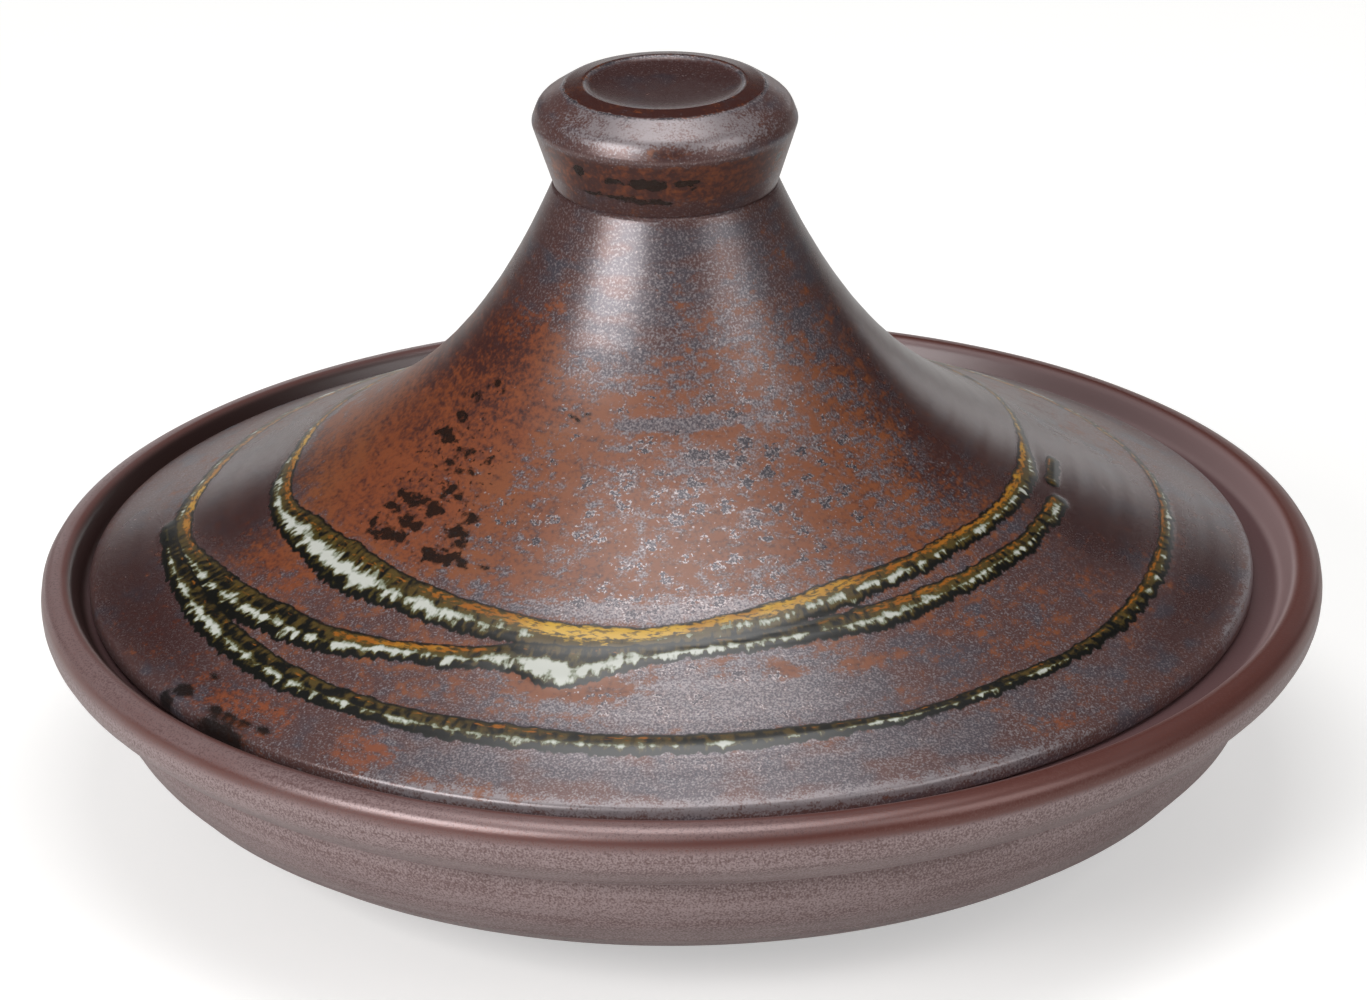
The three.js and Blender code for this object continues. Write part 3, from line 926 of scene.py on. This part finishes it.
def black_spots(tree, from_axis, radius, spots):
    """Where the glaze pulled back into black spots, with ragged edges and small stray specks."""
    ragged = mottle(tree, from_axis, (2.4, 2.4, 1.6), 6)
    rough = add(tree, "MapRange", {}, {0: radius, 1: BELL_SPOTS_END, 2: SKIRT_SPOTS_START,
                                       3: BELL_RAGGED, 4: SKIRT_RAGGED})
    edge = total(tree, spots["X"], (total(tree, -0.5, (ragged, 1.0)), rough))
    pits = add(tree, "MapRange", STEP, {0: edge, 1: 0.6, 2: -0.4, 4: 0.92})
    stray = mottle(tree, from_axis, (1.4, 1.4, 0.9), 2)
    stray = total(tree, 0.0, (stray, 1.0), (spots["Y"], 0.2))
    stray = add(tree, "MapRange", STEP, {0: stray, 1: 0.76, 2: 0.86, 4: 0.8})
    return add(tree, "Math", HIGHER, {0: pits, 1: stray})


# %% [markdown]
# The layers are mixed from the ground up. Iron crystals are partly metallic: they flash where a soft box is
# mirrored and go dark beside it. Haze and crystals are smoother than the bare ground, and their grain stands
# up more. An iron glaze is dense, so its IOR is higher than plain glass has.

# %% Iron glaze: the layers together
# The colour of the painted highlight on the knob's bevel and the lid's edge.
PAINTED_SHEEN = linear("#8E898D")
SOOT = linear("#181412")
HAZE_METAL = 0.3
CRYSTAL_METAL = 0.4
THIN_ROUGHNESS = 0.4
GROWN_ROUGHNESS = 0.31
PAINTED_SHEEN_ROUGHNESS = 0.38
SHADE_ROUGHNESS = 0.2
PIT_ROUGHNESS = 0.25
THIN_RELIEF = 0.45
GLAZE_IOR = 1.7
GLAZE_RELIEF = 0.025


def iron_glaze(tree, axis_x):
    """The layers together: coordinates, colour, share of metal, roughness and relief."""
    from_axis, radius, unrolled = wheel_place(tree, axis_x)
    zones = read_attribute(tree, "zones")
    spots = read_attribute(tree, "spots")
    rings = mottle(tree, unrolled, (50, 50, 1.0), 2)
    blots = mottle(tree, from_axis, (2.6, 2.6, 1.6), 3)
    grain = mottle(tree, from_axis, (0.5, 0.5, 0.5), 2)
    haze, haze_colour = mauve_haze(tree, from_axis, rings, blots, grain, zones["X"], spots["Z"])
    # Shade from the zones mixes the haze towards maroon: painted shade on the lid's far sides and in the
    # knob's hollow, with the knob's own dark glaze. Below zero it is a painted highlight, mixed in as a pale
    # sheen colour and broken up by grain and blots.
    shade = add(tree, "MapRange", STEP, {0: zones["Z"], 1: 0.1, 2: 0.9, 4: 0.75})
    painted_sheen = total(tree, -1.35, (zones["Z"], -1.0), (grain, 1.7), (blots, 1.1))
    painted_sheen = add(tree, "MapRange", STEP, {0: painted_sheen, 1: 0.1, 2: 0.7, 4: 0.85})
    for share, over in ((shade, MAROON), (painted_sheen, PAINTED_SHEEN)):
        haze_colour = add(tree, "Mix", COLOUR, {0: share, 6: haze_colour, 7: over})
    crystals, crystal_colour = crystal_clusters(tree, from_axis, rings, grain, spots["Z"])
    pits = black_spots(tree, from_axis, radius, spots)
    colour = iron_ground(tree, from_axis, rings, blots, zones)
    for share, over in ((haze, haze_colour), (crystals, crystal_colour), (pits, SOOT)):
        colour = add(tree, "Mix", COLOUR, {0: share, 6: colour, 7: over})
    metal = add(tree, "Math", TIMES, {0: haze, 1: HAZE_METAL})
    for share, value in ((crystals, CRYSTAL_METAL), (pits, 0.0)):
        metal = add(tree, "Mix", {}, {0: share, 2: metal, 3: value})
    grown = add(tree, "Math", HIGHER, {0: haze, 1: crystals})
    roughness = add(tree, "MapRange", {}, {0: grown, 3: THIN_ROUGHNESS, 4: GROWN_ROUGHNESS})
    for share, value in ((painted_sheen, PAINTED_SHEEN_ROUGHNESS), (shade, SHADE_ROUGHNESS), (pits, PIT_ROUGHNESS)):
        roughness = add(tree, "Mix", {}, {0: share, 2: roughness, 3: value})
    standing = add(tree, "MapRange", {}, {0: grown, 3: THIN_RELIEF, 4: 1.0})
    relief = add(tree, "Math", TIMES, {0: grain, 1: standing})
    return from_axis, unrolled, colour, metal, roughness, relief


def glaze_surface(tree, colour, metal, roughness, relief, relief_mm):
    """Finish a glaze: a dense glassy skin with its relief."""
    bump = add(tree, "Bump", {}, {"Height": relief, "Distance": relief_mm * MM, "Strength": 1.0})
    glaze = add(tree, "BsdfPrincipled", {}, {"Base Color": colour, "Metallic": metal, "Normal": bump,
                                             "Roughness": roughness, "IOR": GLAZE_IOR})
    add(tree, "OutputMaterial", {}, {"Surface": glaze})


# %% [markdown]
# The trailed glaze is thick and glassy. From its upper to its lower edge it goes from a thin burnt line
# through amber and olive to a white that broke into feathers as it ran, and ends in a ragged black edge. The
# feathers follow the slope, one or two millimetres apart, and slower swells make each colour come and go.

# %% Trailed glaze layer
BLACK_OLIVE = linear("#10100D")
OLIVE = linear("#4E3E1A")
AMBER = linear("#C49A2C")
TOFFEE = linear("#94560F")
FEATHER = linear("#BCBEB6")
SAGE = linear("#757A64")
MOSS = linear("#54481C")
AMBER_PLACE = 0.22
WHITE_PLACE = 0.58


def lay_trail(tree, name, under, feathers, swells, flecks):
    """Lay one trailed line over the colour under it. Gives the new colour and where the line covers."""
    field = read_attribute(tree, name)
    dye = read_attribute(tree, name + "_colour")
    upper = total(tree, -1.3, (swells, 1.6), (flecks, 1.0), (field["X"], 1.0))
    lower = total(tree, -2.2, (feathers, 3.0), (swells, 1.4), (field["Y"], 1.0))
    begins = add(tree, "MapRange", STEP, {0: upper, 1: -0.15, 2: 0.25})
    ends = add(tree, "MapRange", STEP, {0: lower, 1: -0.2, 2: 0.3})
    inside = add(tree, "Math", TIMES, {0: begins, 1: ends})
    width = add(tree, "Math", {"operation": "ADD"}, {0: upper, 1: lower})
    across = add(tree, "Math", DIVIDED_BY, {0: upper, 1: width})
    body = total(tree, 0.07, (feathers, 1.0), (across, -0.35), (dye["X"], 0.42))
    body = add(tree, "MapRange", STEP, {0: body, 1: 0.42, 2: 0.66})
    body = add(tree, "Mix", COLOUR, {0: body, 6: BLACK_OLIVE, 7: OLIVE})
    off_amber = add(tree, "Math", {"operation": "ABSOLUTE"}, {0: total(tree, -AMBER_PLACE, (across, 1.0))})
    amber = total(tree, -2.3, (dye["X"], 1.3), (off_amber, -2.9), (flecks, 2.6), (swells, 1.2),
                  (feathers, 0.8))
    amber = add(tree, "MapRange", STEP, {0: amber, 1: 0.2, 2: 0.75})
    flecked = add(tree, "MapRange", STEP, {0: flecks, 1: 0.36, 2: 0.5, 3: 0.25})
    amber = add(tree, "Math", TIMES, {0: amber, 1: flecked})
    honey = total(tree, 0.0, (dye["X"], 1.0), (swells, 0.6))
    honey = add(tree, "MapRange", STEP, {0: honey, 1: 0.8, 2: 1.25})
    honey = add(tree, "Mix", COLOUR, {0: honey, 6: TOFFEE, 7: AMBER})
    off_white = add(tree, "Math", {"operation": "ABSOLUTE"}, {0: total(tree, -WHITE_PLACE, (across, 1.0))})
    milk = total(tree, -4.0, (dye["Y"], 2.6), (off_white, -5.0), (feathers, 3.2), (swells, 4.0))
    tint = add(tree, "MapRange", STEP, {0: milk, 1: -0.2, 2: 0.35, 4: 0.6})
    cream = add(tree, "MapRange", STEP, {0: milk, 1: 0.5, 2: 1.2})
    cream = add(tree, "Mix", COLOUR, {0: cream, 6: SAGE, 7: FEATHER})
    white = add(tree, "MapRange", STEP, {0: milk, 1: 0.4, 2: 0.6})
    edge = add(tree, "Math", {"operation": "MINIMUM"}, {0: total(tree, 0.5, (upper, 1.0)), 1: lower})
    edge = add(tree, "MapRange", STEP, {0: edge, 1: 1.5, 2: 0.7})
    for share, over in ((amber, honey), (tint, MOSS), (white, cream), (edge, BLACK_OLIVE)):
        body = add(tree, "Mix", COLOUR, {0: share, 6: body, 7: over})
    return add(tree, "Mix", COLOUR, {0: inside, 6: under, 7: body}), inside


# %% [markdown]
# On the lid the trails lie over the iron glaze. Where they cover it, they hide its metal and its grain and
# bring their own glassy surface, with the feathers as a low relief.

# %% Lid glaze material
FEATHER_GAP = 1.7
FEATHER_LENGTH = 3.2
TRAIL_ROUGHNESS = 0.34


def lid_glaze():
    """Iron glaze with crystals and black spots under the trailed lines."""
    material, tree = new_material("iron_glaze_with_trails")
    from_axis, unrolled, colour, metal, roughness, relief = iron_glaze(tree, LID_AXIS)
    feathers = mottle(tree, unrolled, (FEATHER_GAP, FEATHER_GAP, FEATHER_LENGTH), 3)
    swells = mottle(tree, from_axis, (4.5, 4.5, 4.5), 3)
    flecks = mottle(tree, unrolled, (2, 2, 0.6), 3)
    for name in TRAILS:
        colour, inside = lay_trail(tree, name, colour, feathers, swells, flecks)
        metal = add(tree, "Mix", {}, {0: inside, 2: metal, 3: 0.0})
        roughness = add(tree, "Mix", {}, {0: inside, 2: roughness, 3: TRAIL_ROUGHNESS})
        relief = add(tree, "Mix", {}, {0: inside, 2: relief, 3: feathers})
    glaze_surface(tree, colour, metal, roughness, relief, GLAZE_RELIEF)
    return material


lid.data.materials.append(lid_glaze())
print("lid material nodes:", len(lid.data.materials[0].node_tree.nodes))

# %% [markdown]
# The dish has a thin iron slip that fired to a satin mauve brown. It is evener than the lid: a fine grain
# and long soft streaks round the wall. The lip is red where the slip is thinnest, most of all on the right;
# in front and on the left it is painted paler as a highlight, and its outer crest carries a painted
# highlight too. The wall of the gallery is painted light on the right and in shade on the left.

# %% Satin slip on the dish
MAUVE = linear("#6A4F4E")
ASH = linear("#A49090")
RIM_RED = linear("#602A1E")
WELL_BROWN = linear("#64494A")
LIT_WALL_BROWN = linear("#8A7272")
SHADOW_BROWN = linear("#32211F")
LIP_FADE = (7.0, 3.0)
CREST_HIGHLIGHT_FADE = (3.0, 1.6)
CREST_HIGHLIGHT_WIDTH = (5.6, 4.2)
RED_SIDE = (-20.0, 80.0)
GALLERY_FADE = (1.5, -0.5)
WALL_FADE = (-1.9, 0.1)
LEDGE_FADE = (-3.0, -1.0)
PAINTED_SHADE_SIDE = (40.0, -110.0)
SLIP_METAL = 0.25
SLIP_ROUGHNESS = (0.32, 0.48)
LIP_ROUGHNESS = 0.35
SLIP_RELIEF = 0.03


def dish_slip():
    """Satin iron slip with a fine grain and streaks that follow the wheel."""
    material, tree = new_material("satin_iron_slip")
    from_axis, radius, unrolled = wheel_place(tree, 0.0)
    place = add(tree, "SeparateXYZ", {}, {0: from_axis}).outputs
    height = place["Z"]
    around = add(tree, "VectorMath", TIMES, {0: unrolled, 1: (1, 1, 0)})
    climb = add(tree, "CombineXYZ", {}, {"Z": height})
    wall = add(tree, "VectorMath", {"operation": "ADD"}, {0: around, 1: climb})
    streaks = mottle(tree, wall, (60, 60, 1.6), 3)
    clouds = mottle(tree, wall, (26, 26, 9), 3)
    grain = mottle(tree, from_axis, (0.48, 0.48, 0.48), 2)
    tone = total(tree, 0.0, (grain, 1.6), (streaks, 0.4), (clouds, 0.4))
    light = add(tree, "MapRange", STEP, {0: tone, 1: 0.85, 2: 1.55})
    colour = add(tree, "Mix", COLOUR, {0: light, 6: MAUVE, 7: ASH})
    on_lip = add(tree, "MapRange", STEP, {0: height, 1: RIM_TOP - LIP_FADE[0], 2: RIM_TOP - LIP_FADE[1]})
    # Painted highlight: the lip is less red in front and on the left, where the light falls on it.
    on_right = add(tree, "MapRange", STEP, {0: place["X"], 1: RED_SIDE[0], 2: RED_SIDE[1], 4: 0.5})
    # Painted highlight along the outer crest of the rim.
    painted_crest_highlight = add(tree, "MapRange", STEP, {0: height, 1: RIM_TOP - CREST_HIGHLIGHT_FADE[0],
                                         2: RIM_TOP - CREST_HIGHLIGHT_FADE[1]})
    outside = add(tree, "MapRange", STEP, {0: radius, 1: RIM - CREST_HIGHLIGHT_WIDTH[0], 2: RIM - CREST_HIGHLIGHT_WIDTH[1]})
    painted_crest_highlight = add(tree, "Math", TIMES, {0: painted_crest_highlight, 1: outside})
    # Red wear of the lip, lessened where the painted highlights lie.
    wear_and_painted_highlight = total(tree, -1.25, (on_lip, 0.82), (clouds, 0.8), (grain, 1.4), (on_lip, on_right),
                 (painted_crest_highlight, -0.35))
    wear_and_painted_highlight = add(tree, "MapRange", STEP, {0: wear_and_painted_highlight, 1: 0.1, 2: 0.9, 4: 0.85})
    colour = add(tree, "Mix", COLOUR, {0: wear_and_painted_highlight, 6: colour, 7: RIM_RED})
    in_gallery = add(tree, "MapRange", STEP, {0: radius, 1: rim_inside + GALLERY_FADE[0],
                                              2: rim_inside + GALLERY_FADE[1]})
    at_wall = add(tree, "MapRange", STEP, {0: radius, 1: gallery_edge + WALL_FADE[0],
                                           2: gallery_edge + WALL_FADE[1]})
    # Painted light and shade: the gallery wall is lit on the right and in shade on the left.
    painted_shade_to_left = add(tree, "MapRange", STEP, {0: place["X"], 1: PAINTED_SHADE_SIDE[0], 2: PAINTED_SHADE_SIDE[1]})
    lit_and_shaded_wall = add(tree, "Mix", COLOUR, {0: painted_shade_to_left, 6: LIT_WALL_BROWN, 7: SHADOW_BROWN})
    well = add(tree, "Mix", COLOUR, {0: at_wall, 6: WELL_BROWN, 7: lit_and_shaded_wall})
    on_top = add(tree, "MapRange", STEP, {0: height, 1: gallery_level + LEDGE_FADE[0],
                                          2: gallery_level + LEDGE_FADE[1]})
    in_gallery = add(tree, "Math", TIMES, {0: in_gallery, 1: on_top})
    colour = add(tree, "Mix", COLOUR, {0: in_gallery, 6: colour, 7: well})
    metal = add(tree, "MapRange", {}, {0: in_gallery, 3: SLIP_METAL, 4: 0.0})
    roughness = add(tree, "MapRange", {}, {0: grain, 3: SLIP_ROUGHNESS[0], 4: SLIP_ROUGHNESS[1]})
    roughness = add(tree, "Mix", {}, {0: on_lip, 2: roughness, 3: LIP_ROUGHNESS})
    glaze_surface(tree, colour, metal, roughness, grain, SLIP_RELIEF)
    return material


dish.data.materials.append(dish_slip())
print("dish material nodes:", len(dish.data.materials[0].node_tree.nodes))

# %% [markdown]
# The knob has the same iron glaze. The thumb hollow is darkened with painted shade, the front of the
# shoulder carries a painted silvery highlight, the ring between them wore to red brown, and the flare has a
# bare rust band in front with black smudges.

# %% Knob glaze
KNOB_SPOTS = [
    (-42, 160.0, 1.8, 1.4), (-24, 158.9, 2.6, 0.8), (-12, 159.0, 2.8, 1.4), (-4, 158.7, 3.0, 1.5),
    (8, 159.0, 3.2, 0.9), (13, 157.8, 1.2, 0.6), (62, 160.0, 1.4, 1.0), (-22, 154.8, 10.0, 0.6),
    (-8, 153.9, 6.0, 0.5),
]
SMUDGE_SHARPNESS = 2.5
KNOB_SHADE = 0.15
KNOB_PAINTED_SHEEN = 0.7
KNOB_CRYSTALS = -0.3
RING_CRYSTALS = 1.4

angle, radius, height = on_the_wheel(read_vectors(knob.data.vertices, "co"), LID_AXIS)
in_front = between(angle, (-72, -58), (48, 80))
top_side = height > widest + 3
on_flare = between(height, (LID_TOP + 4.0, LID_TOP + 5.4), (widest - 2.0, widest - 0.5)) * in_front
on_ring = between(radius, (ring_inside - 0.4, ring_inside + 0.6), (ring_outside - 0.4, ring_outside + 0.6))
on_ring *= ease(height, widest + 3, widest + 5)
dab = np.exp(-((angle - 1) / 9) ** 4 - ((height - widest - 1.9) / 1.3) ** 4)
at_joint = (1 - ease(height, LID_TOP + 3.8, LID_TOP + 5.0)) * in_front
# Painted shade in the thumb hollow.
painted_shade_in_hollow = (1 - ease(radius, ring_inside - 1.0, ring_inside)) * top_side
# Painted highlight: the pale silvery sheen on the front of the bevel.
painted_sheen_on_bevel = ease(radius, ring_outside - 0.2, ring_outside + 0.6) * ease(height, widest + 1.0, widest + 3.0)
painted_sheen_on_bevel *= between(angle, (-80, -25), (30, 85)) * (1 - dab)
bare = np.maximum.reduce([0.95 * on_flare, 0.8 * on_ring, 0.5 * dab, 0.4 * at_joint])
dark = np.maximum.reduce([0.3 * on_flare, 0.55 * on_ring, 0.35 * at_joint, 0.45 * painted_shade_in_hollow, 0.4 * dab])
# Shade above zero is dark glaze and painted shade, and below zero it is the painted highlight.
shade = dark + KNOB_SHADE - KNOB_PAINTED_SHEEN * painted_sheen_on_bevel
zones = np.stack([1.0 - bare, 0.6 * on_flare + 0.2 * on_ring, shade], axis=1)
write_vectors(knob.data, "zones", zones)
spots = SMUDGE_SHARPNESS * nearest_spot(angle, height, KNOB_SPOTS, KNOB)
spots = np.where(radius > ring_outside, spots, FAR_FROM_SPOTS)
ring_edges = np.exp(-((radius - ring_outside) / 0.5) ** 2) + np.exp(-((radius - ring_inside) / 0.45) ** 2)
crystals = KNOB_CRYSTALS + RING_CRYSTALS * ring_edges * top_side
write_vectors(knob.data, "spots", np.stack([spots, 0 * spots, crystals], axis=1))


def knob_glaze():
    """The iron glaze as it is, without trails."""
    material, tree = new_material("iron_glaze_on_knob")
    colour, metal, roughness, relief = iron_glaze(tree, LID_AXIS)[2:]
    glaze_surface(tree, colour, metal, roughness, relief, GLAZE_RELIEF)
    return material


knob.data.materials.append(knob_glaze())
print("knob zones:", zones.max(axis=0).round(2))

# %% [markdown]
# The potter wiped the foot ring and the lid's seat clean, so that nothing would stick in the kiln, and bare
# stoneware shows there. Inside, the dish and the lid have a plain brown liner glaze, smooth and easy to
# clean. Both go on these pieces as further materials, on faces picked by where they lie and how they face.

# %% Liner glaze and bare clay
LINER = linear("#4A2D20")
LINER_POOL = linear("#2C1A14")
CLAY = linear("#A88E72")
CLAY_SPECK = linear("#6A5444")
LINER_ROUGHNESS = 0.2
LINER_RELIEF = 0.1
CLAY_ROUGHNESS = 0.85
CLAY_RELIEF = 0.05


def liner_glaze():
    """Glossy brown glaze, darker where it pooled."""
    material, tree = new_material("brown_liner_glaze")
    pools = mottle(tree, wheel_place(tree, 0.0)[0], (12, 12, 6), 4)
    deep = add(tree, "MapRange", STEP, {0: pools, 1: 0.4, 2: 0.65})
    colour = add(tree, "Mix", COLOUR, {0: deep, 6: LINER, 7: LINER_POOL})
    glaze_surface(tree, colour, 0.0, LINER_ROUGHNESS, pools, LINER_RELIEF)
    return material


def bare_clay():
    """Dry buff stoneware with small iron specks."""
    material, tree = new_material("bare_stoneware")
    specks = mottle(tree, wheel_place(tree, 0.0)[0], (0.8, 0.8, 0.8), 2)
    iron = add(tree, "MapRange", STEP, {0: specks, 1: 0.6, 2: 0.7})
    colour = add(tree, "Mix", COLOUR, {0: iron, 6: CLAY, 7: CLAY_SPECK})
    glaze_surface(tree, colour, 0.0, CLAY_ROUGHNESS, specks, CLAY_RELIEF)
    return material


def faces_of(piece, axis_x):
    """Radius and height of each face in millimetres, and how far it looks outwards and up."""
    normal = read_vectors(piece.data.polygons, "normal")
    angle, radius, height = on_the_wheel(read_vectors(piece.data.polygons, "center"), axis_x)
    turn = np.radians(angle)
    return radius, height, normal[:, 0] * np.sin(turn) - normal[:, 1] * np.cos(turn), normal[:, 2]


def lay_on(piece, chosen, material):
    """Add a material to a piece and give it the chosen faces."""
    piece.data.materials.append(material)
    index = np.zeros(len(piece.data.polygons), np.int32)
    piece.data.polygons.foreach_get("material_index", index)
    index[chosen] = len(piece.data.materials) - 1
    piece.data.polygons.foreach_set("material_index", index)
    print(piece.name, material.name, "faces:", int(chosen.sum()))


liner, clay = liner_glaze(), bare_clay()
radius, height, outwards, up = faces_of(dish, 0.0)
in_bowl = (radius < inner_side + 0.6) & (height > FLOOR_TOP - 0.5)
lay_on(dish, in_bowl & ((up > 0.3) | (outwards < -0.3)), liner)
lay_on(dish, height < 0.5, clay)
radius, height, outwards, up = faces_of(lid, LID_AXIS)
lay_on(lid, (radius < LID_EDGE - SEAT_WIDTH - 0.3) & (up < 0.1), liner)
lay_on(lid, (height < LID_SEAT + 0.3) & (up < -0.9), clay)

# %% [markdown]
# Each finished piece takes the place of its CAD node and rides on the body that carries it.

# %% Join the pieces to the frame
PIECES = [(dish, "dish", "dish", "dish_glaze"), (lid, "lid", "lid", "lid_glaze"),
          (knob, "lid_knob", "lid", "knob_glaze")]
for piece, node, body, slot in PIECES:
    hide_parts(node)
    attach(piece, body)
